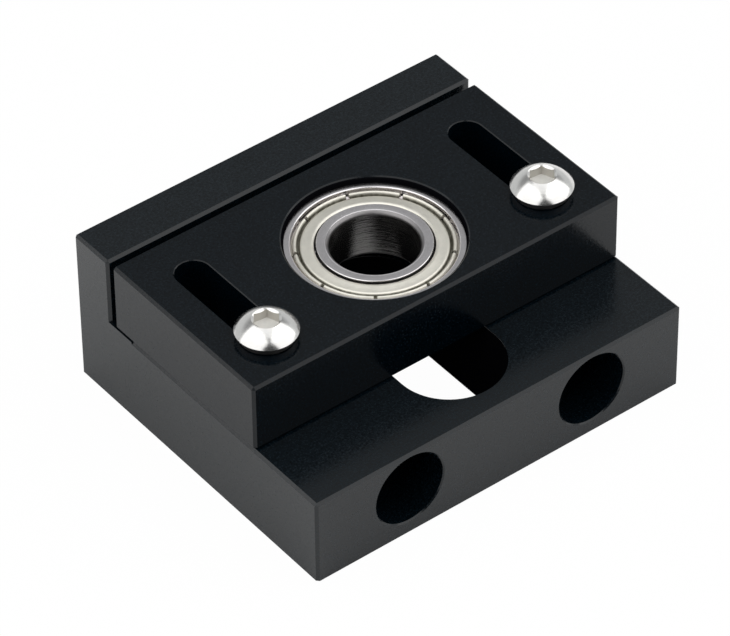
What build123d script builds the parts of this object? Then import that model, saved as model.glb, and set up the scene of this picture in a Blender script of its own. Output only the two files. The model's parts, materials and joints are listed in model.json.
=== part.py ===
# Adjustable bearing bracket for an 8 mm screw shaft: an L-shaped base, a plate that slides on it,
# and a shielded 8 x 16 x 5 ball bearing pressed into the plate. Millimetres.
# +X runs along the bracket, +Y towards its wall, +Z up. The origin is the middle of the base's footprint.
import os
from math import asin, cos, radians, sin, sqrt

from build123d import *

# Bearing, its plain sizes
bore_diameter = 8.0
bearing_diameter = 16.0
bearing_width = 5.0
ball_diameter = 2.38
ball_count = 9
first_ball_angle = 90.0
race_depth = 0.3
race_conformity = 0.517
ball_clearance = 0.01
bore_chamfer = 0.2
outer_ring_chamfer = 0.15
inner_ring_chamfer = 0.08

# Bearing, the shields and the groove that each is crimped into
shield_thickness = 0.16
shield_gap = 0.23
shield_recess = 0.18
shield_lip_drop = 0.07
shield_dish_depth = 0.42
shield_dish_width = 0.42
shield_channel_width = 0.18
shield_bead_lean = 0.33
shield_crown_height = 0.5
shield_crimp_width = 0.26
shield_crimp_drop = 0.4
shield_crimp_clearance = 0.18
shield_slit_count = 9
shield_slit_width = 0.4
shield_slit_web = 0.04
first_slit_angle = 32.3
crimp_rim_width = 0.55
crimp_groove_depth = 0.86
crimp_lip_width = 0.22
crimp_lip_depth = 0.3
crimp_lip_slope = 0.15
crimp_mouth_depth = 0.2

# Bearing, the riveted ribbon cage
cage_thickness = 0.18
cage_side_clearance = 0.15
pocket_clearance = 0.08
pocket_sides = 8
pocket_length = 1.3
rivet_diameter = 0.5
rivet_stand_out = 0.1
rivet_clearance = 0.01

# Clamp screws, M3 with a domed head
screw_diameter = 2.94
screw_length = 12.0
screw_tip_chamfer = 0.35
thread_clearance = 0.03
head_diameter = 5.5
head_underside_diameter = 5.1
head_rim_height = 0.2
head_height = 1.65
head_dome_radius = 3.0
head_lift = 0.45
hex_across_flats = 2.0
hex_depth = 1.0
hex_mouth_diameter = 2.8
hex_corner_angle = 52.5
screw_inset = 5.0

# Sliding plate
plate_side_inset = 0.05
seat_clearance = 0.01
seat_chamfer = 0.2
seat_floor_thickness = 1.4
seat_floor_hole_diameter = 13.0
bearing_recess = 0.6
bearing_front_web = 0.8
bearing_back_web = 2.78
travel_forward = 10.2
travel_back = 0.6
slot_side_clearance = 0.18
slot_end_clearance = 0.35
slot_front_web = 2.2
slot_back_web = 3.36
slot_chamfer = 0.08

# Base
base_length = 40.0
wall_thickness = 4.85
wall_gap = 0.68
shaft_clearance = 1.1
shaft_slot_front_web = 2.18
frame_bore_spacing = 20.0
frame_bore_diameter = 7.2
frame_bore_length = 9.0
frame_bore_chamfer = 0.12
frame_screw_hole_diameter = 4.4
frame_bore_top_web = 0.4
frame_bore_bottom_web = 1.4
edge_chamfer = 0.25
bottom_edge_break = 0.1
side_chamfer_runout = 3.1

# Heights
slab_thickness = frame_bore_bottom_web + frame_bore_diameter + frame_bore_top_web
frame_bore_height = frame_bore_bottom_web + frame_bore_diameter / 2
plate_thickness = seat_floor_thickness + bearing_width + bearing_recess
plate_top = slab_thickness + plate_thickness
wall_height = plate_top
bearing_bottom = slab_thickness + seat_floor_thickness
bearing_top = bearing_bottom + bearing_width
bearing_middle = bearing_bottom + bearing_width / 2

# The clamp screws stand a fixed distance from the base's ends.
# The plate's slots leave room for them over the whole travel.
screw_spacing = base_length - 2 * screw_inset
screw_radius = screw_diameter / 2
slot_radius = screw_radius + slot_side_clearance
slot_length = travel_back + travel_forward + 2 * (screw_radius + slot_end_clearance)
seat_radius = bearing_diameter / 2 + seat_clearance
seat_rim_radius = seat_radius + seat_chamfer
slot_span = slot_front_web + slot_length + slot_back_web
seat_span = bearing_front_web + 2 * seat_rim_radius + bearing_back_web
plate_depth = max(slot_span, seat_span)
plate_length = base_length - 2 * plate_side_inset
bearing_setback = bearing_front_web + seat_rim_radius

# Depths, worked out from the front edge of the base and then centred on its footprint
shaft_slot_radius = bore_diameter / 2 + shaft_clearance
front_ledge = shaft_slot_front_web + shaft_slot_radius + travel_forward - bearing_setback
base_depth = front_ledge + plate_depth + wall_gap + wall_thickness
base_front = -base_depth / 2
base_back = base_depth / 2
wall_face = base_back - wall_thickness
plate_front = base_front + front_ledge
plate_back = plate_front + plate_depth
bearing_y = plate_front + bearing_setback
slot_front = plate_front + slot_front_web
screw_y = slot_front + slot_end_clearance + screw_radius + travel_back

# Bearing geometry
bore_radius = bore_diameter / 2
ring_radius = bearing_diameter / 2
half_width = bearing_width / 2
ball_radius = ball_diameter / 2
pitch_radius = (bore_radius + ring_radius) / 2
race_radius = race_conformity * ball_diameter
ball_angles = [radians(first_ball_angle + 360 / ball_count * number) for number in range(ball_count)]
inner_race_bottom = pitch_radius - ball_radius - ball_clearance
outer_race_bottom = pitch_radius + ball_radius + ball_clearance
inner_land_radius = inner_race_bottom + race_depth
outer_land_radius = outer_race_bottom - race_depth

# Each shield is set out from the groove that holds its edge, inwards to a running gap at the inner ring
crimp_groove_radius = ring_radius - crimp_rim_width
crimp_lip_radius = crimp_groove_radius - crimp_lip_width
shield_edge_radius = crimp_groove_radius - shield_crimp_clearance
shield_crown_radius = shield_edge_radius - shield_crimp_width
shield_bead_radius = shield_crown_radius - shield_bead_lean
shield_dish_radius = shield_bead_radius - shield_channel_width
shield_flat_radius = shield_dish_radius - shield_dish_width
shield_lip_radius = inner_land_radius + shield_gap

bearing_centre = Location((0, bearing_y, bearing_middle))
bearing_axis = Axis((0, bearing_y, 0), (0, 0, 1))
bearing_section = Plane(origin=(0, bearing_y, bearing_middle), x_dir=(1, 0, 0), z_dir=(0, -1, 0))
bearing_mid_plane = Plane(origin=(0, bearing_y, bearing_middle))

os.makedirs("parts", exist_ok=True)


def save(piece, name):
    """Labels a finished piece and writes it under its own name."""
    piece.part.label = name
    export_step(piece.part, f"parts/{name}.step")


def race_half_height(land_radius, race_centre):
    """Height at which a race of the ball groove's radius meets the land beside it."""
    return sqrt(race_radius**2 - (land_radius - race_centre) ** 2)


def sheet_outline(path, thickness):
    """Outline of a folded sheet whose middle runs along a path, with mitred corners."""
    points = [Vector(*point) for point in path]
    turned = [(b - a).normalized().rotate(Axis.Z, 90) for a, b in zip(points, points[1:])]
    starts = [turned[0], *turned]
    ends = [*turned, turned[-1]]
    mitres = [(a + b) / (1 + a.dot(b)) * (thickness / 2) for a, b in zip(starts, ends)]
    left = [point + mitre for point, mitre in zip(points, mitres)]
    right = [point - mitre for point, mitre in zip(points, mitres)]
    return left + right[::-1]


# Base bracket: slab and wall in one piece
with BuildPart() as base_bracket:
    with BuildSketch(Plane.YZ):
        with BuildLine():
            Polyline(
                (base_front, 0),
                (base_back, 0),
                (base_back, wall_height),
                (wall_face, wall_height),
                (wall_face, slab_thickness),
                (base_front, slab_thickness),
                close=True,
            )
        make_face()
    extrude(amount=base_length / 2, both=True)
    edges = base_bracket.edges()
    bottom_edges = edges.group_by(Axis.Z)[0]
    slab_top_edges = edges.filter_by_position(Axis.Z, slab_thickness, slab_thickness)
    front_top_edge = slab_top_edges.sort_by(Axis.Y)[0]
    chamfer((edges - bottom_edges - slab_top_edges) + [front_top_edge], edge_chamfer)
    chamfer(base_bracket.edges().group_by(Axis.Z)[0], bottom_edge_break)
    # The slab's side edges are chamfered up to where the cutter has to stop short of the wall
    with BuildSketch(Plane.XZ.offset(-base_front)):
        with Locations((-base_length / 2, slab_thickness), (base_length / 2, slab_thickness)):
            Rectangle(edge_chamfer * sqrt(2), edge_chamfer * sqrt(2), rotation=45)
    extrude(amount=-(wall_face - side_chamfer_runout - base_front), mode=Mode.SUBTRACT)
    # Slot that the shaft passes through, long enough for every place of the plate
    with BuildSketch():
        with Locations((0, bearing_y + (travel_back - travel_forward) / 2)):
            SlotCenterToCenter(travel_back + travel_forward, 2 * shaft_slot_radius, rotation=90)
    extrude(amount=slab_thickness, mode=Mode.SUBTRACT)
    # Counterbored holes for the two screws that fix the wall to a frame
    with BuildSketch(Plane.XZ.offset(-base_front)):
        with Locations((0, frame_bore_height)):
            with GridLocations(frame_bore_spacing, 0, 2, 1):
                Circle(frame_bore_diameter / 2)
    extrude(amount=-frame_bore_length, mode=Mode.SUBTRACT)
    with BuildSketch(Plane.XZ.offset(-base_front)):
        with Locations((0, frame_bore_height)):
            with GridLocations(frame_bore_spacing, 0, 2, 1):
                Circle(frame_screw_hole_diameter / 2)
    extrude(amount=-base_depth, mode=Mode.SUBTRACT)
    bore_mouths = base_bracket.edges().filter_by(GeomType.CIRCLE).group_by(Axis.Y)[0]
    chamfer(bore_mouths, frame_bore_chamfer)
    # Tapped holes for the clamp screws
    with Locations((0, screw_y, slab_thickness)):
        with GridLocations(screw_spacing, 0, 2, 1):
            Hole(screw_radius + thread_clearance, slab_thickness)
save(base_bracket, "base_bracket")

# Bearing plate: slides on the slab, holds the bearing in a stepped seat
plate_middle_y = (plate_front + plate_back) / 2
slot_middle_y = slot_front + slot_length / 2
with BuildPart() as bearing_plate:
    with BuildSketch(Plane.XY.offset(slab_thickness)):
        with Locations((0, plate_middle_y)):
            Rectangle(plate_length, plate_depth)
    extrude(amount=plate_thickness)
    chamfer(bearing_plate.edges(), edge_chamfer)
    with Locations((0, bearing_y, plate_top)):
        CounterBoreHole(seat_floor_hole_diameter / 2, seat_radius, bearing_width + bearing_recess)
    with BuildSketch(Plane.XY.offset(slab_thickness)):
        with Locations((0, slot_middle_y)):
            with GridLocations(screw_spacing, 0, 2, 1):
                SlotOverall(slot_length, 2 * slot_radius, rotation=90)
    extrude(amount=plate_thickness, mode=Mode.SUBTRACT)
    top_face = bearing_plate.faces().sort_by(Axis.Z)[-1]
    seat_rim, *slot_rims = top_face.inner_wires().sort_by_distance((0, bearing_y, plate_top))
    chamfer(seat_rim.edges(), seat_chamfer)
    chamfer([edge for rim in slot_rims for edge in rim.edges()], slot_chamfer)
save(bearing_plate, "bearing_plate")


def make_clamp_screw(name, x):
    """Domed hexagon-socket screw, standing a little proud of the plate so that the plate can slide."""
    head_bottom = plate_top + head_lift
    tip = head_bottom - screw_length
    dome_centre = head_rim_height - sqrt(head_dome_radius**2 - (head_diameter / 2) ** 2)
    flat_radius = sqrt(head_dome_radius**2 - (head_height - dome_centre) ** 2)
    mid_angle = (asin(head_diameter / 2 / head_dome_radius) + asin(flat_radius / head_dome_radius)) / 2
    dome_middle = (
        head_dome_radius * sin(mid_angle),
        head_bottom + dome_centre + head_dome_radius * cos(mid_angle),
    )
    section = Plane(origin=(x, screw_y, 0), x_dir=(1, 0, 0), z_dir=(0, -1, 0))
    with BuildPart() as screw:
        with BuildSketch(section):
            with BuildLine():
                rim = (head_diameter / 2, head_bottom + head_rim_height)
                crown = (flat_radius, head_bottom + head_height)
                Polyline(
                    crown,
                    (0, head_bottom + head_height),
                    (0, tip),
                    (screw_radius - screw_tip_chamfer, tip),
                    (screw_radius, tip + screw_tip_chamfer),
                    (screw_radius, head_bottom),
                    (head_underside_diameter / 2, head_bottom),
                    rim,
                )
                ThreePointArc(rim, dome_middle, crown)
            make_face()
        revolve(axis=Axis((x, screw_y, 0), (0, 0, 1)))
        with BuildSketch(Plane.XY.offset(head_bottom + head_height)):
            with Locations((x, screw_y)):
                RegularPolygon(
                    hex_across_flats / 2, 6, major_radius=False, rotation=hex_corner_angle
                )
        extrude(amount=-hex_depth, mode=Mode.SUBTRACT)
        mouth_depth = hex_mouth_diameter / 2 - hex_across_flats / 2
        with Locations((x, screw_y, head_bottom + head_height - mouth_depth / 2)):
            Cone(hex_across_flats / 2, hex_mouth_diameter / 2, mouth_depth, mode=Mode.SUBTRACT)
    save(screw, name)


make_clamp_screw("clamp_screw_left", -screw_spacing / 2)
make_clamp_screw("clamp_screw_right", screw_spacing / 2)

# Outer ring: face, crimping groove for each shield, land and ball race
outer_race_centre = outer_race_bottom - race_radius
outer_race_height = race_half_height(outer_land_radius, outer_race_centre)
with BuildPart() as outer_ring:
    with BuildSketch(bearing_section):
        with BuildLine():
            upper = [
                (outer_land_radius, outer_race_height),
                (outer_land_radius, half_width - crimp_groove_depth),
                (crimp_groove_radius, half_width - crimp_groove_depth),
                (crimp_groove_radius, half_width - crimp_lip_depth - crimp_lip_slope),
                (crimp_lip_radius, half_width - crimp_lip_depth),
                (crimp_lip_radius, half_width - crimp_mouth_depth),
                (crimp_groove_radius, half_width),
                (ring_radius - outer_ring_chamfer, half_width),
                (ring_radius, half_width - outer_ring_chamfer),
            ]
            lower = [(r, -z) for r, z in reversed(upper)]
            Polyline(*upper, *lower)
            ThreePointArc(lower[-1], (outer_race_bottom, 0), upper[0])
        make_face()
    revolve(axis=bearing_axis)
save(outer_ring, "bearing_outer_ring")

# Inner ring: chamfered bore, land and ball race
inner_race_centre = inner_race_bottom + race_radius
inner_race_height = race_half_height(inner_land_radius, inner_race_centre)
with BuildPart() as inner_ring:
    with BuildSketch(bearing_section):
        with BuildLine():
            upper = [
                (inner_land_radius, inner_race_height),
                (inner_land_radius, half_width - inner_ring_chamfer),
                (inner_land_radius - inner_ring_chamfer, half_width),
                (bore_radius + bore_chamfer, half_width),
                (bore_radius, half_width - bore_chamfer),
            ]
            lower = [(r, -z) for r, z in reversed(upper)]
            Polyline(*upper, *lower)
            ThreePointArc(lower[-1], (inner_race_bottom, 0), upper[0])
        make_face()
    revolve(axis=bearing_axis)
save(inner_ring, "bearing_inner_ring")


def make_shield(name, side):
    """Pressed sheet ring: lip by the inner ring, flat, channel, and a bead crimped into the outer ring."""
    flat_level = half_width - shield_recess - shield_thickness / 2
    channel_level = flat_level - shield_dish_depth
    crown_level = channel_level + shield_crown_height
    path = [
        (shield_lip_radius, flat_level - shield_lip_drop),
        (shield_lip_radius + shield_thickness, flat_level),
        (shield_flat_radius, flat_level),
        (shield_dish_radius, channel_level),
        (shield_bead_radius, channel_level),
        (shield_crown_radius, crown_level),
        (shield_edge_radius, crown_level - shield_crimp_drop),
    ]
    with BuildPart() as shield:
        with BuildSketch(bearing_section):
            with BuildLine():
                Polyline(*sheet_outline([(r, side * z) for r, z in path], shield_thickness), close=True)
            make_face()
        revolve(axis=bearing_axis)
        slit_start = shield_bead_radius + shield_slit_web
        slit_length = ring_radius - slit_start
        with BuildSketch(bearing_mid_plane):
            with PolarLocations(slit_start + slit_length / 2, shield_slit_count, first_slit_angle):
                Rectangle(slit_length, shield_slit_width)
        extrude(amount=side * half_width, mode=Mode.SUBTRACT)
    save(shield, name)


make_shield("upper_shield", 1)
make_shield("lower_shield", -1)

# Ribbon cage: two pressed halves that close round the balls, riveted between them
ribbon_inner = inner_land_radius + cage_side_clearance
ribbon_outer = outer_land_radius - cage_side_clearance
pocket_radius = ball_radius + pocket_clearance
rivet_angle = first_ball_angle + 180.0 / ball_count
pocket_planes = [
    Plane(bearing_mid_plane.origin, x_dir=(-sin(angle), cos(angle), 0), z_dir=(cos(angle), sin(angle), 0))
    for angle in ball_angles
]
pocket_start_planes = [plane.offset(pitch_radius - pocket_length / 2) for plane in pocket_planes]


def make_cage_half(name, side):
    """Thin ring bent into a pocket over each ball."""
    with BuildPart() as half:
        with BuildSketch(bearing_mid_plane):
            Circle(ribbon_outer)
            Circle(ribbon_inner, mode=Mode.SUBTRACT)
        extrude(amount=side * cage_thickness)
        with BuildSketch(*pocket_start_planes):
            RegularPolygon(pocket_radius + cage_thickness, pocket_sides, False, 180 / pocket_sides)
        extrude(amount=pocket_length)
        split(bisect_by=bearing_mid_plane, keep=Keep.TOP if side > 0 else Keep.BOTTOM)
        with BuildSketch(*pocket_planes):
            RegularPolygon(pocket_radius, pocket_sides, False, 180 / pocket_sides)
        extrude(amount=ring_radius, mode=Mode.SUBTRACT)
        with BuildSketch(bearing_mid_plane):
            with PolarLocations(pitch_radius, ball_count, rivet_angle):
                Circle(rivet_diameter / 2 + rivet_clearance)
        extrude(amount=side * cage_thickness, mode=Mode.SUBTRACT)
    save(half, name)


make_cage_half("cage_upper_half", 1)
make_cage_half("cage_lower_half", -1)

# Rivets, one between each two pockets
with BuildPart() as cage_rivets:
    with Locations(bearing_centre):
        with PolarLocations(pitch_radius, ball_count, rivet_angle):
            Cylinder(rivet_diameter / 2, 2 * (cage_thickness + rivet_stand_out))
save(cage_rivets, "cage_rivets")

# Balls, each its own piece
for number, angle in enumerate(ball_angles, start=1):
    with BuildPart() as ball:
        with Locations(bearing_centre):
            with Locations((pitch_radius * cos(angle), pitch_radius * sin(angle), 0)):
                Sphere(ball_radius)
    save(ball, f"ball_{number}")

for label, size in (
    ("base", f"{base_length} x {base_depth:.2f} x {wall_height:.2f}"),
    ("plate", f"{plate_length:.2f} x {plate_depth:.2f} x {plate_thickness:.2f}"),
    ("bearing axis y", f"{bearing_y:.3f}"),
    ("bearing middle z", f"{bearing_middle:.3f}"),
    ("screw y", f"{screw_y:.3f}"),
    ("slot length", f"{slot_length:.2f}"),
):
    print(label, size)
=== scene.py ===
# Looks for a black anodised bearing bracket: finishes, finely turned bearing pieces, light and camera
import json
import math

import bmesh
import bpy
from mathutils import Matrix, Vector


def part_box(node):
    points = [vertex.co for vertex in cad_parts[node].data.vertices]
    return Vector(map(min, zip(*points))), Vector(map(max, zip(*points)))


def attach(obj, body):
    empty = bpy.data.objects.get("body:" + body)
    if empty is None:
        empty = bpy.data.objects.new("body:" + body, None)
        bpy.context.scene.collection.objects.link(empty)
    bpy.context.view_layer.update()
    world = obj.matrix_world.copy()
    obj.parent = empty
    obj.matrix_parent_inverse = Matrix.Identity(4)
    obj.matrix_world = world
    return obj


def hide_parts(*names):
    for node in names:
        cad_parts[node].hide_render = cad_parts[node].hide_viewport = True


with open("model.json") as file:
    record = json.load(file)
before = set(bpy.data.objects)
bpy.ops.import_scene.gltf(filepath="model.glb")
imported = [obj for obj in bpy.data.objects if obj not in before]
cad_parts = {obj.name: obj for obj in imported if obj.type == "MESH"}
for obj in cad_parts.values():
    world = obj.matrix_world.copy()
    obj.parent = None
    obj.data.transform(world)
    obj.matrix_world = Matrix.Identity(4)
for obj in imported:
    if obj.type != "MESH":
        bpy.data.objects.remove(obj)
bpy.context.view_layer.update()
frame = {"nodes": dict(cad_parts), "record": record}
print("frame loaded")

# lengths of the bracket are written in millimetres, and mm turns them into the scene's metres
mm = 0.001
bearingLow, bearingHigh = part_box("bearing_outer_ring")
bearingCentre = (bearingLow + bearingHigh) / 2


class Value:
    # a socket that Python's own operators work on
    def __init__(self, shader, socket):
        self.shader = shader
        self.socket = socket

    def maths(self, operation, first, second):
        return self.shader.add("ShaderNodeMath", {"operation": operation}, {0: first, 1: second})

    def __add__(self, other):
        return self.maths("ADD", self, other)

    def __radd__(self, other):
        return self.maths("ADD", other, self)

    def __sub__(self, other):
        return self.maths("SUBTRACT", self, other)

    def __rsub__(self, other):
        return self.maths("SUBTRACT", other, self)

    def __mul__(self, other):
        return self.maths("MULTIPLY", self, other)

    def __rmul__(self, other):
        return self.maths("MULTIPLY", other, self)


class Shader:
    # one material, or the world, and the nodes that are added to it
    def __init__(self, owner):
        owner.use_nodes = True
        self.owner = owner
        self.tree = owner.node_tree

    def add(self, kind, settings=None, sockets=None, output=0):
        node = self.tree.nodes.new(kind)
        for key, value in (settings or {}).items():
            if key == "stops":
                self.setStops(node.color_ramp, value)
            else:
                setattr(node, key, value)
        self.feed(node, sockets or {})
        return Value(self, node.outputs[output])

    def setStops(self, ramp, stops):
        while len(ramp.elements) < len(stops):
            ramp.elements.new(0.5)
        for element, (place, grey) in zip(ramp.elements, stops):
            element.position = place
            element.color = (grey, grey, grey, 1)

    def feed(self, node, sockets):
        for key, value in sockets.items():
            if isinstance(value, Value):
                self.tree.links.new(value.socket, node.inputs[key])
            else:
                node.inputs[key].default_value = value

    def vector(self, operation, first, second=(0, 0, 0), output=0):
        return self.add("ShaderNodeVectorMath", {"operation": operation}, {0: first, 1: second}, output)

    def axis(self, vector, name):
        return self.add("ShaderNodeSeparateXYZ", {}, {0: vector}, name)

    def noise(self, place, scale, detail, roughness=0.5):
        sockets = {"Vector": place, "Scale": scale, "Detail": detail, "Roughness": roughness}
        return self.add("ShaderNodeTexNoise", {}, sockets)

    def bump(self, height, distance, strength):
        sockets = {"Height": height, "Distance": distance, "Strength": strength}
        return self.add("ShaderNodeBump", {}, sockets)

    def ramp(self, value, stops):
        return self.add("ShaderNodeValToRGB", {"stops": stops}, {0: value})

    def mixColours(self, share, first, second):
        sockets = {"Factor": share, "A": first, "B": second}
        return self.add("ShaderNodeMix", {"data_type": "RGBA"}, sockets, "Result")

    def mixIn(self, share, other):
        # lays this share of another look over the material's own
        own = Value(self, self.surface.outputs[0])
        mixed = self.add("ShaderNodeMixShader", {}, {0: share, 1: own, 2: other})
        self.tree.links.new(mixed.socket, self.tree.nodes["Material Output"].inputs[0])


def newShader(name):
    shader = Shader(bpy.data.materials.new(name))
    shader.surface = shader.tree.nodes["Principled BSDF"]
    return shader


def give(piece, material):
    piece.data.materials.clear()
    piece.data.materials.append(material)


def scaled(colour, factor):
    # the same colour, lighter or darker
    return tuple(factor * c for c in colour[:3]) + (1,)


def fromAxis(shader, place, unit):
    # how far a place is from the bearing's axis, counted in this length
    off = shader.vector("SUBTRACT", place, bearingCentre)
    off = shader.vector("MULTIPLY", off, (1 / unit, 1 / unit, 0))
    return shader.vector("LENGTH", off, output="Value")


# finishes

# the scale of a noise is in waves to the metre
blast = {
    "grain": 4800.0,
    "grainRoughness": 0.6,
    "detail": 2.0,
    "contrast": 2.4,
    "height": 0.005,
    "strength": 0.5,
    "cloud": 300.0,
    "cloudShare": 0.2,
    "sparkle": 7.0,
    "grainPolish": 0.2,
    "cloudPolish": 0.05,
    # the dark dull diffuse that stands as painted shade on walls deep in the part
    "paintedShadeWall": (0.003, 0.003, 0.004, 1),
}
# the base's slot box and the plate's seat radius bound the walls that take the painted shade
finishes = {
    "base": {
        "colour": (0.0003, 0.00095, 0.0015, 1),
        "roughness": 0.22,
        "ior": 1.48,
        "slotCentre": (0, 0, 4.5),
        "slotHalf": (5.15, 15.0, 4.4),
    },
    "plate": {"colour": (0.0001, 0.0006, 0.0011, 1), "roughness": 0.2, "ior": 1.37, "seatShadeRadius": 8.1},
}


def insideSeat(shader, place, radius):
    # 1 within this radius of the bearing's axis, and 0 beyond it
    off = fromAxis(shader, place, radius * mm)
    return off.maths("LESS_THAN", off, 1)


def insideSlot(shader, place, centre, half):
    # 1 within a box that holds the shaft's slot, and 0 outside it
    off = shader.vector("SUBTRACT", place, tuple(c * mm for c in centre))
    off = shader.vector("DIVIDE", off, tuple(h * mm for h in half))
    off = shader.vector("ABSOLUTE", off)
    across, along, up = (shader.axis(off, name) for name in "XYZ")
    inside = across.maths("LESS_THAN", across, 1) * up.maths("LESS_THAN", up, 1)
    return inside * along.maths("LESS_THAN", along, 1)


def makeAnodised(name, look):
    # dyed oxide on blasted aluminium: nearly black below, a clear skin with a fine grain above
    shader = newShader(name)
    place = shader.add("ShaderNodeTexCoord", output="Object")
    grain = shader.noise(place, blast["grain"], blast["detail"], blast["grainRoughness"])
    grain = (grain - 0.5) * blast["contrast"] + 0.5
    cloud = shader.noise(place, blast["cloud"], blast["detail"])
    share = grain * (1 - blast["cloudShare"]) + cloud * blast["cloudShare"]
    tone = shader.mixColours(share, look["colour"], scaled(look["colour"], blast["sparkle"]))
    polish = (grain - 0.5) * blast["grainPolish"] + (cloud - 0.5) * blast["cloudPolish"]
    shader.feed(
        shader.surface,
        {
            "Base Color": tone,
            "Roughness": look["roughness"] + polish,
            "Normal": shader.bump(grain, blast["height"] * mm, blast["strength"]),
            "IOR": look["ior"],
        },
    )
    # walls turned or milled deep in the part are given a dark dull diffuse: painted shade
    if "seatShadeRadius" in look:
        shadeMask = insideSeat(shader, place, look["seatShadeRadius"])
    else:
        shadeMask = insideSlot(shader, place, look["slotCentre"], look["slotHalf"])
    shader.mixIn(shadeMask, shader.add("ShaderNodeBsdfDiffuse", {}, {"Color": blast["paintedShadeWall"]}))
    return shader.owner


# each steel has its colour, its roughness and how much that varies, and the scale and depth of its marks;
# some have a share of the colour that dull spots keep, a stretch of the lights or a ring of painted shade
# in a crease
steels = {
    "ring_steel": {
        "colour": (0.88, 0.85, 0.86, 1),
        "roughness": 0.24,
        "vary": 0.12,
        "marks": (4200, 4200, 4200),
        "depth": 0.0006,
    },
    "bore_steel": {
        "colour": (0.8, 0.78, 0.76, 1),
        "dull": 0.5,
        "roughness": 0.17,
        "vary": 0.14,
        "marks": (420, 420, 8000),
        "depth": 0.03,
        "stretch": 0.6,
    },
    # a dark steel that stands as painted shade under the screw heads and on the bore's chamfer
    "painted_shade_steel": {
        "colour": (0.3, 0.29, 0.29, 1),
        "roughness": 0.42,
        "vary": 0.3,
        "marks": (2600, 2600, 2600),
        "depth": 0.003,
    },
    "shield_steel": {
        "colour": (0.95, 0.92, 0.83, 1),
        "roughness": 0.5,
        "vary": 0.14,
        "marks": (2600, 2600, 2600),
        "depth": 0.002,
        # painted shade in the crease round the flat, as radius and share
        "creaseShade": [(6.42, 0.0), (6.5, 1.0), (6.74, 1.0), (6.86, 0.0)],
    },
    "cage_steel": {
        "colour": (0.55, 0.54, 0.52, 1),
        "roughness": 0.4,
        "vary": 0.1,
        "marks": (2600, 2600, 2600),
        "depth": 0.002,
    },
    "ball_steel": {
        "colour": (0.75, 0.75, 0.76, 1),
        "roughness": 0.08,
        "vary": 0.02,
        "marks": (4000, 4000, 4000),
        "depth": 0.0005,
    },
    "screw_steel": {
        "colour": (0.8, 0.79, 0.77, 1),
        "roughness": 0.2,
        "vary": 0.12,
        "marks": (4500, 4500, 4500),
        "depth": 0.0012,
    },
    # the socket's walls: rough broaching marks, and a darker colour that is painted shade in the recess
    "socket_steel": {
        "colour": (0.66, 0.64, 0.6, 1),
        "roughness": 0.36,
        "vary": 0.25,
        "marks": (1800, 1800, 6500),
        "depth": 0.014,
    },
    # a lighter, rough steel for the socket's floor: painted light, so the floor reads bright
    "painted_light_floor_steel": {
        "colour": (0.96, 0.95, 0.92, 1),
        "roughness": 0.85,
        "vary": 0.1,
        "marks": (3000, 3000, 3000),
        "depth": 0.004,
    },
}
# what the steels share: fine marks and a slow cloud, which together set how dull a spot is
wear = {
    "dull": 0.82,
    "markDetail": 3.0,
    "markRoughness": 0.6,
    "markShare": 0.6,
    "cloud": 700.0,
    "cloudDetail": 2.0,
    "cloudPolish": 0.5,
    "strength": 1.0,
    "stretchTurn": 0.25,
}
# the shield's painted shade in its crease: ramp span, least and varied share, and its dark colour
creaseShade = {"span": 10.0, "least": 0.4, "varied": 0.8, "colour": (0.06, 0.055, 0.03, 1)}


def addCreaseShade(shader, place, marks, tone, ring):
    # painted shade: a dark olive colour lies in the crease round the shield's flat, patchy with the marks
    stops = [(radius / creaseShade["span"], share) for radius, share in ring]
    creaseRing = shader.ramp(fromAxis(shader, place, creaseShade["span"] * mm), stops)
    share = creaseRing * (creaseShade["least"] + marks * creaseShade["varied"])
    return shader.mixColours(share, tone, creaseShade["colour"])


def makeSteel(name, look):
    shader = newShader(name)
    place = shader.add("ShaderNodeTexCoord", output="Object")
    run = shader.add("ShaderNodeMapping", {}, {"Vector": place, "Scale": look["marks"]})
    marks = shader.noise(run, 1.0, wear["markDetail"], wear["markRoughness"])
    cloud = shader.noise(place, wear["cloud"], wear["cloudDetail"])
    share = marks * wear["markShare"] + cloud * (1 - wear["markShare"])
    tone = shader.mixColours(share, scaled(look["colour"], look.get("dull", wear["dull"])), look["colour"])
    if "creaseShade" in look:
        tone = addCreaseShade(shader, place, marks, tone, look["creaseShade"])
    if "stretch" in look:
        # turning marks run round the bore and draw its lights out along the axis
        turn = wear["stretchTurn"]
        shader.feed(shader.surface, {"Anisotropic": look["stretch"], "Anisotropic Rotation": turn})
    polish = (marks - 0.5) * look["vary"] + (cloud - 0.5) * look["vary"] * wear["cloudPolish"]
    shader.feed(
        shader.surface,
        {
            "Base Color": tone,
            "Metallic": 1.0,
            "Roughness": look["roughness"] + polish,
            "Normal": shader.bump(marks, look["depth"] * mm, wear["strength"]),
        },
    )
    return shader.owner


materials = {name: makeSteel(name, look) for name, look in steels.items()}
for part in finishes:
    materials["anodised_" + part] = makeAnodised("anodised_" + part, finishes[part])
slots = {row["node"]: row["material_slot"] for row in frame["record"]["subparts"]}
for nodeName, node in frame["nodes"].items():
    give(node, materials[slots[nodeName]])
print("finishes given")


# bearing and screws, modelled finer than their frame nodes

weld = 0.0002 * mm
onPlane = 0.0005 * mm
sharpEdge = math.radians(34)
roundingSegments = 4


def drawSection(bm, points, closed):
    # a section in radius and height, millimetres, each corner with its own rounding
    corners = [bm.verts.new((radius * mm, 0, height * mm)) for radius, height, rounding in points]
    lines = [bm.edges.new(pair) for pair in zip(corners, corners[1:])]
    if closed:
        lines.append(bm.edges.new((corners[-1], corners[0])))
    for size in sorted({rounding for radius, height, rounding in points if rounding}):
        chosen = [corner for corner, point in zip(corners, points) if point[2] == size]
        bmesh.ops.bevel(
            bm,
            geom=chosen,
            offset=size * mm,
            affect="VERTICES",
            segments=roundingSegments,
            profile=0.5,
            material=-1,
        )


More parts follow.
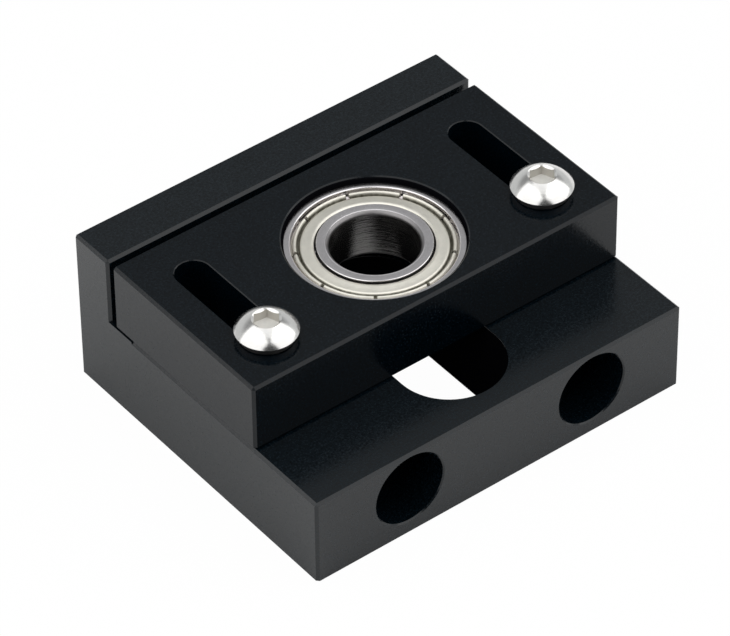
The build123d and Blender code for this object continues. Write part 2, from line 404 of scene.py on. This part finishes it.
def turnSection(points, steps, closed=True):
    bm = bmesh.new()
    drawSection(bm, points, closed)
    bmesh.ops.spin(
        bm,
        geom=bm.verts[:] + bm.edges[:],
        cent=(0, 0, 0),
        axis=(0, 0, 1),
        angle=2 * math.pi,
        steps=steps,
        use_merge=True,
    )
    bmesh.ops.remove_doubles(bm, verts=bm.verts, dist=weld)
    bmesh.ops.recalc_face_normals(bm, faces=bm.faces)
    return bm


def finishPiece(bm, name, centre, node, looks):
    # moves the mesh to its place, marks its sharp edges and lets it stand for its frame node
    bmesh.ops.translate(bm, vec=centre, verts=bm.verts)
    for face in bm.faces:
        face.smooth = True
    for edge in bm.edges:
        edge.smooth = edge.calc_face_angle(0) < sharpEdge
    mesh = bpy.data.meshes.new(name)
    bm.to_mesh(mesh)
    bm.free()
    piece = bpy.data.objects.new(name, mesh)
    bpy.context.scene.collection.objects.link(piece)
    for look in looks:
        mesh.materials.append(materials[look])
    bodies = frame["record"]["behaviour"]["bodies"]
    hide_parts(node)
    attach(piece, next(body for body, nodes in bodies.items() if node in nodes))
    return piece


def mirrorSection(upper):
    return upper + [(radius, -height, rounding) for radius, height, rounding in reversed(upper)]


bearing = {"halfWidth": 2.5, "raceRadius": 1.2305, "racePoints": 9, "steps": 160}


def raceArc(bottom, land, towards):
    # the ball groove, from the land above it to the land below
    radius = bearing["raceRadius"]
    points = bearing["racePoints"]
    centre = bottom - towards * radius
    top = math.acos(towards * (land - centre) / radius)
    angles = [top - 2 * top * (number + 1) / (points + 1) for number in range(points)]
    return [(centre + towards * radius * math.cos(a), radius * math.sin(a), 0) for a in angles]


outerRing = {
    "radius": 8.0,
    "edge": 0.08,
    "groove": 7.45,
    "grooveDepth": 0.86,
    "lip": 7.34,
    "lipDepth": 0.3,
    "lipSlope": 0.1,
    "mouth": 7.42,
    "mouthDrop": 0.07,
    "land": 6.9,
    "race": 7.2,
    "rounding": {"groove": 0.04, "lipFoot": 0.03, "lip": 0.02, "mouth": 0.03, "edge": 0.05},
}
innerRing = {
    "bore": 4.0,
    "boreChamfer": 0.28,
    "boreWall": 0.001,
    "edge": 0.05,
    "land": 5.1,
    "race": 4.8,
    "rounding": {"edge": 0.02, "bore": 0.14},
    "looks": ["ring_steel", "bore_steel", "painted_shade_steel"],
}


def makeOuterRing():
    ring = outerRing
    rounding = ring["rounding"]
    face = bearing["halfWidth"]
    upper = [
        (ring["land"], face - ring["grooveDepth"], 0),
        (ring["groove"], face - ring["grooveDepth"], rounding["groove"]),
        (ring["groove"], face - ring["lipDepth"] - ring["lipSlope"], rounding["lipFoot"]),
        (ring["lip"], face - ring["lipDepth"], rounding["lip"]),
        (ring["lip"], face - ring["mouthDrop"], rounding["lip"]),
        (ring["mouth"], face, rounding["mouth"]),
        (ring["radius"] - ring["edge"], face, rounding["edge"]),
        (ring["radius"], face - ring["edge"], rounding["edge"]),
    ]
    race = raceArc(ring["race"], ring["land"], 1)[::-1]
    bm = turnSection(mirrorSection(upper) + race, bearing["steps"])
    return finishPiece(bm, "outer_ring", bearingCentre, "bearing_outer_ring", ["ring_steel"])


def makeInnerRing():
    ring = innerRing
    rounding = ring["rounding"]
    face = bearing["halfWidth"]
    upper = [
        (ring["land"], face - ring["edge"], rounding["edge"]),
        (ring["land"] - ring["edge"], face, rounding["edge"]),
        (ring["bore"] + ring["boreChamfer"], face, rounding["bore"]),
        (ring["bore"], face - ring["boreChamfer"], rounding["bore"]),
    ]
    race = raceArc(ring["race"], ring["land"], -1)[::-1]
    bm = turnSection(mirrorSection(upper) + race, bearing["steps"])
    looks = ring["looks"]
    # the bore's wall takes the bore steel, and its chamfer the dark steel as painted shade
    for wall in bm.faces:
        middle = wall.calc_center_median()
        reach = math.hypot(middle.x, middle.y) / mm - ring["bore"]
        if reach < ring["boreWall"]:
            wall.material_index = looks.index("bore_steel")
        elif reach < ring["boreChamfer"]:
            wall.material_index = looks.index("painted_shade_steel")
    return finishPiece(bm, "inner_ring", bearingCentre, "bearing_inner_ring", looks)


shield = {
    "thickness": 0.16,
    "middle": [
        (5.33, 2.2, 0),
        (5.47, 2.3, 0.1),
        (6.02, 2.2, 1.2),
        (6.4, 2.19, 0.12),
        (6.55, 1.92, 0.09),
        (6.73, 1.92, 0.08),
        (6.83, 2.2, 0.09),
        (6.95, 2.32, 0.1),
        (7.05, 2.2, 0.09),
        (7.13, 1.86, 0.06),
        (7.27, 1.84, 0),
    ],
    "slits": 9,
    "firstSlit": 32.3,
    "slitWidth": 0.34,
    "slitStart": 6.72,
    "cutFrom": 0.8,
    "cutWidth": 4,
    "steps": 180,
}


def cutSlit(bm, angle):
    # two cuts along the slit's sides and one across its end, then the strip between them goes;
    # only faces from a share of the slit's start, and within a few half widths of it, are cut
    out = Vector((math.cos(angle), math.sin(angle), 0))
    side = Vector((-math.sin(angle), math.cos(angle), 0))
    half = shield["slitWidth"] / 2 * mm
    start = shield["slitStart"] * mm
    near = [f for f in bm.faces if f.calc_center_median().dot(out) > shield["cutFrom"] * start]
    near = [f for f in near if abs(f.calc_center_median().dot(side)) < shield["cutWidth"] * half]
    for point, normal in ((side * half, side), (side * -half, side), (out * start, out)):
        parts = {v for f in near for v in f.verts} | {e for f in near for e in f.edges} | set(near)
        done = bmesh.ops.bisect_plane(bm, geom=list(parts), plane_co=point, plane_no=normal, dist=onPlane)
        near = [g for g in done["geom"] if isinstance(g, bmesh.types.BMFace)]
    gone = [f for f in near if f.calc_center_median().dot(out) > start]
    gone = [f for f in gone if abs(f.calc_center_median().dot(side)) < half]
    bmesh.ops.delete(bm, geom=gone, context="FACES")


def makeShield(name, node, upsideDown):
    bm = turnSection(shield["middle"], shield["steps"], closed=False)
    for number in range(shield["slits"]):
        cutSlit(bm, math.radians(shield["firstSlit"] + 360 / shield["slits"] * number))
    bmesh.ops.recalc_face_normals(bm, faces=bm.faces)
    rise = sum(face.normal.z * face.calc_area() for face in bm.faces)
    if rise < 0:
        bmesh.ops.reverse_faces(bm, faces=bm.faces)
    half = shield["thickness"] / 2 * mm
    for corner in bm.verts:
        corner.co += corner.normal * half
    bmesh.ops.solidify(bm, geom=bm.faces[:], thickness=2 * half)
    if upsideDown:
        bmesh.ops.scale(bm, vec=(1, 1, -1), verts=bm.verts)
    bmesh.ops.recalc_face_normals(bm, faces=bm.faces)
    return finishPiece(bm, name, bearingCentre, node, ["shield_steel"])


# the frame's screw heads stand clear of the plate, so here a seat under each head comes down to it
screw = {
    "head": 5.62,
    "underside": 5.2,
    "under": 0.24,
    "rim": 0.4,
    "collar": 4.9,
    "collarDrop": 0.4,
    "mouthHeight": 1.57,
    "mouth": 2.6,
    "mouthSlope": 0.8,
    "socket": 2.14,
    "socketDepth": 1.0,
    "drillPoint": 0.2,
    "corner": 52.5,
    "neck": 1.3,
    "neckLength": 0.8,
    "length": 12.0,
    "tip": 0.35,
    "rounding": {"rim": 0.04, "underside": 0.05, "collar": 0.08, "neck": 0.05},
    "domeSteps": 16,
    "steps": 144,
    "looks": ["screw_steel", "socket_steel", "painted_light_floor_steel", "painted_shade_steel"],
}
thread = {
    "crest": 1.46,
    "root": 1.17,
    "pitch": 0.5,
    "crestFrom": 0.22,
    "crestTo": 0.28,
    "intoNeck": 0.1,
    "spareTurns": 2,
    "weld": 0.01,
    "steps": 28,
}


def headSection():
    # from the socket's mouth over the dome, the rim and the seat to the neck; heights count from the
    # underside of the head in the frame
    rim = screw["head"] / 2
    mouth = screw["mouth"] / 2
    rise = screw["mouthHeight"] - screw["rim"]
    below = (rim**2 - mouth**2 - rise**2) / (2 * rise)
    dome = math.hypot(rim, below)
    first = math.asin(mouth / dome)
    last = math.asin(rim / dome)
    steps = screw["domeSteps"]
    angles = [first + (last - first) * number / steps for number in range(steps + 1)]
    centre = screw["rim"] - below
    arc = [(dome * math.sin(a), centre + dome * math.cos(a), 0) for a in angles]
    rounding = screw["rounding"]
    return arc + [
        (rim, (screw["rim"] + screw["under"]) / 2, rounding["rim"]),
        (screw["underside"] / 2, screw["under"], rounding["underside"]),
        (screw["collar"] / 2, -screw["collarDrop"], rounding["collar"]),
        (screw["neck"], -screw["collarDrop"], rounding["neck"]),
        (screw["neck"], -screw["neckLength"], 0),
    ]


def cutSocket(bm):
    # the cone at the mouth runs onto six walls, so each wall's rim is scalloped, and a drill point ends it
    looks = screw["looks"]
    mouth = screw["mouth"] / 2 * mm
    flat = screw["socket"] / 2 * mm
    side = math.radians(60)
    rim = [e for e in bm.edges if e.is_boundary and e.verts[0].co.z > 0]
    level = rim[0].verts[0].co.z
    grown = bmesh.ops.extrude_edge_only(bm, edges=rim)["geom"]
    for corner in (v for v in grown if isinstance(v, bmesh.types.BMVert)):
        angle = math.atan2(corner.co.y, corner.co.x)
        turn = (angle - math.radians(screw["corner"])) % side - side / 2
        reach = flat / math.cos(turn)
        height = level - (mouth - reach) * screw["mouthSlope"]
        corner.co = (reach * math.cos(angle), reach * math.sin(angle), height)
    wallTop = [e for e in grown if isinstance(e, bmesh.types.BMEdge)]
    wallTop = [e for e in wallTop if all(v.co.z < level - weld / 2 for v in e.verts)]
    deep = bmesh.ops.extrude_edge_only(bm, edges=wallTop)["geom"]
    floor = [v for v in deep if isinstance(v, bmesh.types.BMVert)]
    for corner in floor:
        corner.co.z = level - screw["socketDepth"] * mm
    # the socket's walls take the darker steel, painted shade in the recess
    for wall in (f for f in deep if isinstance(f, bmesh.types.BMFace)):
        wall.material_index = looks.index("socket_steel")
    foot = [e for e in bm.edges if e.is_boundary and e.verts[0] in floor]
    point = bmesh.ops.extrude_edge_only(bm, edges=foot)["geom"]
    # the drill point takes the lighter steel as painted light
    for face in (f for f in point if isinstance(f, bmesh.types.BMFace)):
        face.material_index = looks.index("painted_light_floor_steel")
    tip = [v for v in point if isinstance(v, bmesh.types.BMVert)]
    for corner in tip:
        corner.co = (0, 0, level - (screw["socketDepth"] + screw["drillPoint"]) * mm)
    bmesh.ops.remove_doubles(bm, verts=tip, dist=weld)


def cutThread():
    # one tooth of the thread, wound down the shank and cut square at both ends
    top = -screw["neckLength"] + thread["intoNeck"]
    bottom = -screw["length"]
    turns = math.ceil((top - bottom) / thread["pitch"]) + thread["spareTurns"]
    bm = bmesh.new()
    tooth = [
        (thread["root"], 0),
        (thread["crest"], thread["crestFrom"]),
        (thread["crest"], thread["crestTo"]),
        (thread["root"], thread["pitch"]),
    ]
    drawSection(bm, [(radius, bottom - thread["pitch"] + height, 0) for radius, height in tooth], False)
    bmesh.ops.spin(
        bm,
        geom=bm.verts[:] + bm.edges[:],
        cent=(0, 0, 0),
        axis=(0, 0, 1),
        dvec=(0, 0, thread["pitch"] * mm / thread["steps"]),
        angle=2 * math.pi * turns,
        steps=turns * thread["steps"],
        use_merge=False,
    )
    bmesh.ops.remove_doubles(bm, verts=bm.verts, dist=thread["weld"] * mm)
    for level, way in ((top, 1), (bottom, -1)):
        cut = bmesh.ops.bisect_plane(
            bm,
            geom=bm.verts[:] + bm.edges[:] + bm.faces[:],
            dist=onPlane,
            plane_co=(0, 0, level * mm),
            plane_no=(0, 0, way),
            clear_outer=True,
        )
        loop = [e for e in cut["geom_cut"] if isinstance(e, bmesh.types.BMEdge)]
        bmesh.ops.contextual_create(bm, geom=loop)
    for corner in bm.verts:
        reach = math.hypot(corner.co.x, corner.co.y)
        most = (thread["crest"] - screw["tip"]) * mm + (corner.co.z - bottom * mm)
        if reach > most:
            corner.co.x *= most / reach
            corner.co.y *= most / reach
    return bm


def makeScrew(name, node):
    low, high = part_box(node)
    bm = turnSection(headSection(), screw["steps"], closed=False)
    # faces under the head, outside the neck, take the dark steel as painted shade
    for face in bm.faces:
        middle = face.calc_center_median()
        if middle.z < screw["under"] * mm and middle.xy.length > screw["neck"] * mm:
            face.material_index = screw["looks"].index("painted_shade_steel")
    cutSocket(bm)
    bmesh.ops.contextual_create(bm, geom=[e for e in bm.edges if e.is_boundary])
    shank = cutThread()
    whole = bpy.data.meshes.new("shank")
    shank.to_mesh(whole)
    shank.free()
    bm.from_mesh(whole)
    bpy.data.meshes.remove(whole)
    bmesh.ops.recalc_face_normals(bm, faces=bm.faces)
    seat = Vector(((low.x + high.x) / 2, (low.y + high.y) / 2, low.z + screw["length"] * mm))
    return finishPiece(bm, name, seat, node, screw["looks"])


makeOuterRing()
makeInnerRing()
makeShield("top_shield", "upper_shield", False)
makeShield("under_shield", "lower_shield", True)
makeScrew("left_screw", "clamp_screw_left")
makeScrew("right_screw", "clamp_screw_right")
print("bearing and screws made")


# light, floor and camera; lengths are in metres from here on, apart from those that mm multiplies

camera = {
    "azimuth": -37.607,
    "elevation": 41.701,
    "roll": -0.693,
    "distance": 442.195 * mm,
    "lens": 250.62,
    "sensor": 36,
    "clip": (0.01, 50),
    "aimHeight": 8 * mm,
    "aimAcross": -1.211 * mm,
    "aimUp": -0.767 * mm,
}


def makeCamera():
    azimuth = math.radians(camera["azimuth"])
    elevation = math.radians(camera["elevation"])
    roll = math.radians(camera["roll"])
    reach = math.cos(elevation)
    back = Vector((math.sin(azimuth) * reach, -math.cos(azimuth) * reach, math.sin(elevation)))
    level = Vector((math.cos(azimuth), math.sin(azimuth), 0))
    rise = back.cross(level)
    across = math.cos(roll) * level + math.sin(roll) * rise
    up = math.cos(roll) * rise - math.sin(roll) * level
    aim = Vector((0, 0, camera["aimHeight"])) + camera["aimAcross"] * across + camera["aimUp"] * up
    eye = bpy.data.objects.new("camera", bpy.data.cameras.new("camera"))
    eye.data.lens = camera["lens"]
    eye.data.sensor_width = camera["sensor"]
    eye.data.sensor_fit = "HORIZONTAL"
    eye.data.clip_start, eye.data.clip_end = camera["clip"]
    turn = Matrix((across, up, back)).transposed()
    eye.matrix_world = Matrix.Translation(aim + back * camera["distance"]) @ turn.to_4x4()
    bpy.context.scene.collection.objects.link(eye)
    bpy.context.scene.camera = eye


# shade and open bound the painted shade round the bracket's foot in the floor's mirrored white
floor = {
    "half": 2.0,
    "colour": (0.9, 0.9, 0.9, 1),
    "drop": 0.00002,
    "seen": 0.98,
    "mirrored": 0.85,
    "footprint": (0.02, 0.017, 0),
    "shade": 0.008,
    "open": 0.016,
}


def seenRays(shader):
    # rays from the camera, straight or through something clear, and rays that metal mirrors
    straight = shader.add("ShaderNodeLightPath", output="Is Camera Ray")
    through = shader.add("ShaderNodeLightPath", output="Is Transmission Ray")
    mirrored = shader.add("ShaderNodeLightPath", output="Is Glossy Ray")
    return straight + through, mirrored


def makeFloor():
    bm = bmesh.new()
    bmesh.ops.create_grid(bm, x_segments=1, y_segments=1, size=floor["half"])
    mesh = bpy.data.meshes.new("floor")
    bm.to_mesh(mesh)
    bm.free()
    ground = bpy.data.objects.new("floor", mesh)
    ground.location.z = -floor["drop"]
    bpy.context.scene.collection.objects.link(ground)
    shader = newShader("floor")
    matt = {"Base Color": floor["colour"], "Roughness": 1.0, "Specular IOR Level": 0.0}
    shader.feed(shader.surface, matt)
    seen, mirrored = seenRays(shader)
    # metal sees the white of the floor only from a little way off the bracket's foot, a painted shade
    # round and under the bracket in what metal mirrors
    place = shader.add("ShaderNodeTexCoord", output="Object")
    off = shader.vector("SUBTRACT", shader.vector("ABSOLUTE", place), floor["footprint"])
    along = shader.axis(off, "X")
    across = shader.axis(off, "Y")
    away = along.maths("MAXIMUM", along, across)
    limits = {"Value": away, "From Min": floor["shade"], "From Max": floor["open"]}
    clear = shader.add("ShaderNodeMapRange", {}, limits)
    share = seen * floor["seen"] + mirrored * clear * floor["mirrored"]
    shader.mixIn(share, shader.add("ShaderNodeEmission", {}, {"Color": (1, 1, 1, 1), "Strength": 1.0}))
    give(ground, shader.owner)


# the room is bright low behind the bracket, and dim higher up and behind the camera, with a soft glow
# overhead; metal sees white below the horizon, and the camera sees white all round
room = {
    "backAzimuth": 52.4,
    "level": 0.7,
    "colour": (0.97, 0.99, 1.0, 1),
    "rise": [(0.0, 1.0), (0.66, 1.0), (0.78, 0.42), (1.0, 0.42)],
    "turn": [(0.0, 0.14), (0.4, 0.14), (0.62, 1.0), (1.0, 1.0)],
    "top": [(0.0, 0.0), (0.83, 0.0), (0.92, 0.2), (1.0, 0.3)],
    "sweep": [(0.0, 1.0), (0.495, 1.0), (0.505, 0.0), (1.0, 0.0)],
}


def makeWorld():
    sky = bpy.context.scene.world or bpy.data.worlds.new("world")
    bpy.context.scene.world = sky
    shader = Shader(sky)
    background = shader.tree.nodes["Background"]
    way = shader.add("ShaderNodeTexCoord", output="Generated")
    azimuth = math.radians(room["backAzimuth"])
    back = shader.vector("DOT_PRODUCT", way, (math.cos(azimuth), math.sin(azimuth), 0), "Value")
    up = shader.vector("DOT_PRODUCT", way, (0, 0, 1), "Value")
    turn = shader.ramp(0.5 + 0.5 * back, room["turn"])
    height = 0.5 + 0.5 * up
    rise, top, sweep = (shader.ramp(height, room[band]) for band in ("rise", "top", "sweep"))
    seen, mirrored = seenRays(shader)
    strength = rise * turn * room["level"] + top
    white = seen + mirrored * sweep
    shader.feed(background, {"Color": room["colour"], "Strength": strength + white * (1 - strength)})


# each softbox by where it stands round the bracket, its width and height and the brightness of its face
softboxes = {
    "left": {"azimuth": 174, "elevation": 45, "distance": 0.6, "size": (0.86, 0.64), "brightness": 1.35},
    "right": {"azimuth": 313, "elevation": 45, "distance": 0.6, "size": (0.86, 0.64), "brightness": 1.35},
    "above": {"azimuth": 232, "elevation": 87, "distance": 0.7, "size": (0.56, 0.56), "brightness": 0.75},
}


def makeLamps():
    for name, box in softboxes.items():
        light = bpy.data.lights.new(name + "_softbox", "AREA")
        light.shape = "RECTANGLE"
        width, height = box["size"]
        light.size = width
        light.size_y = height
        light.energy = box["brightness"] * math.pi * width * height
        holder = bpy.data.objects.new(name + "_softbox", light)
        azimuth = math.radians(box["azimuth"])
        elevation = math.radians(box["elevation"])
        reach = math.cos(elevation)
        way = Vector((math.cos(azimuth) * reach, math.sin(azimuth) * reach, math.sin(elevation)))
        holder.location = way * box["distance"]
        holder.rotation_euler = way.to_track_quat("Z", "Y").to_euler()
        bpy.context.scene.collection.objects.link(holder)


makeCamera()
makeFloor()
makeWorld()
makeLamps()
bpy.context.scene.view_settings.view_transform = "Standard"
print("light and camera set")
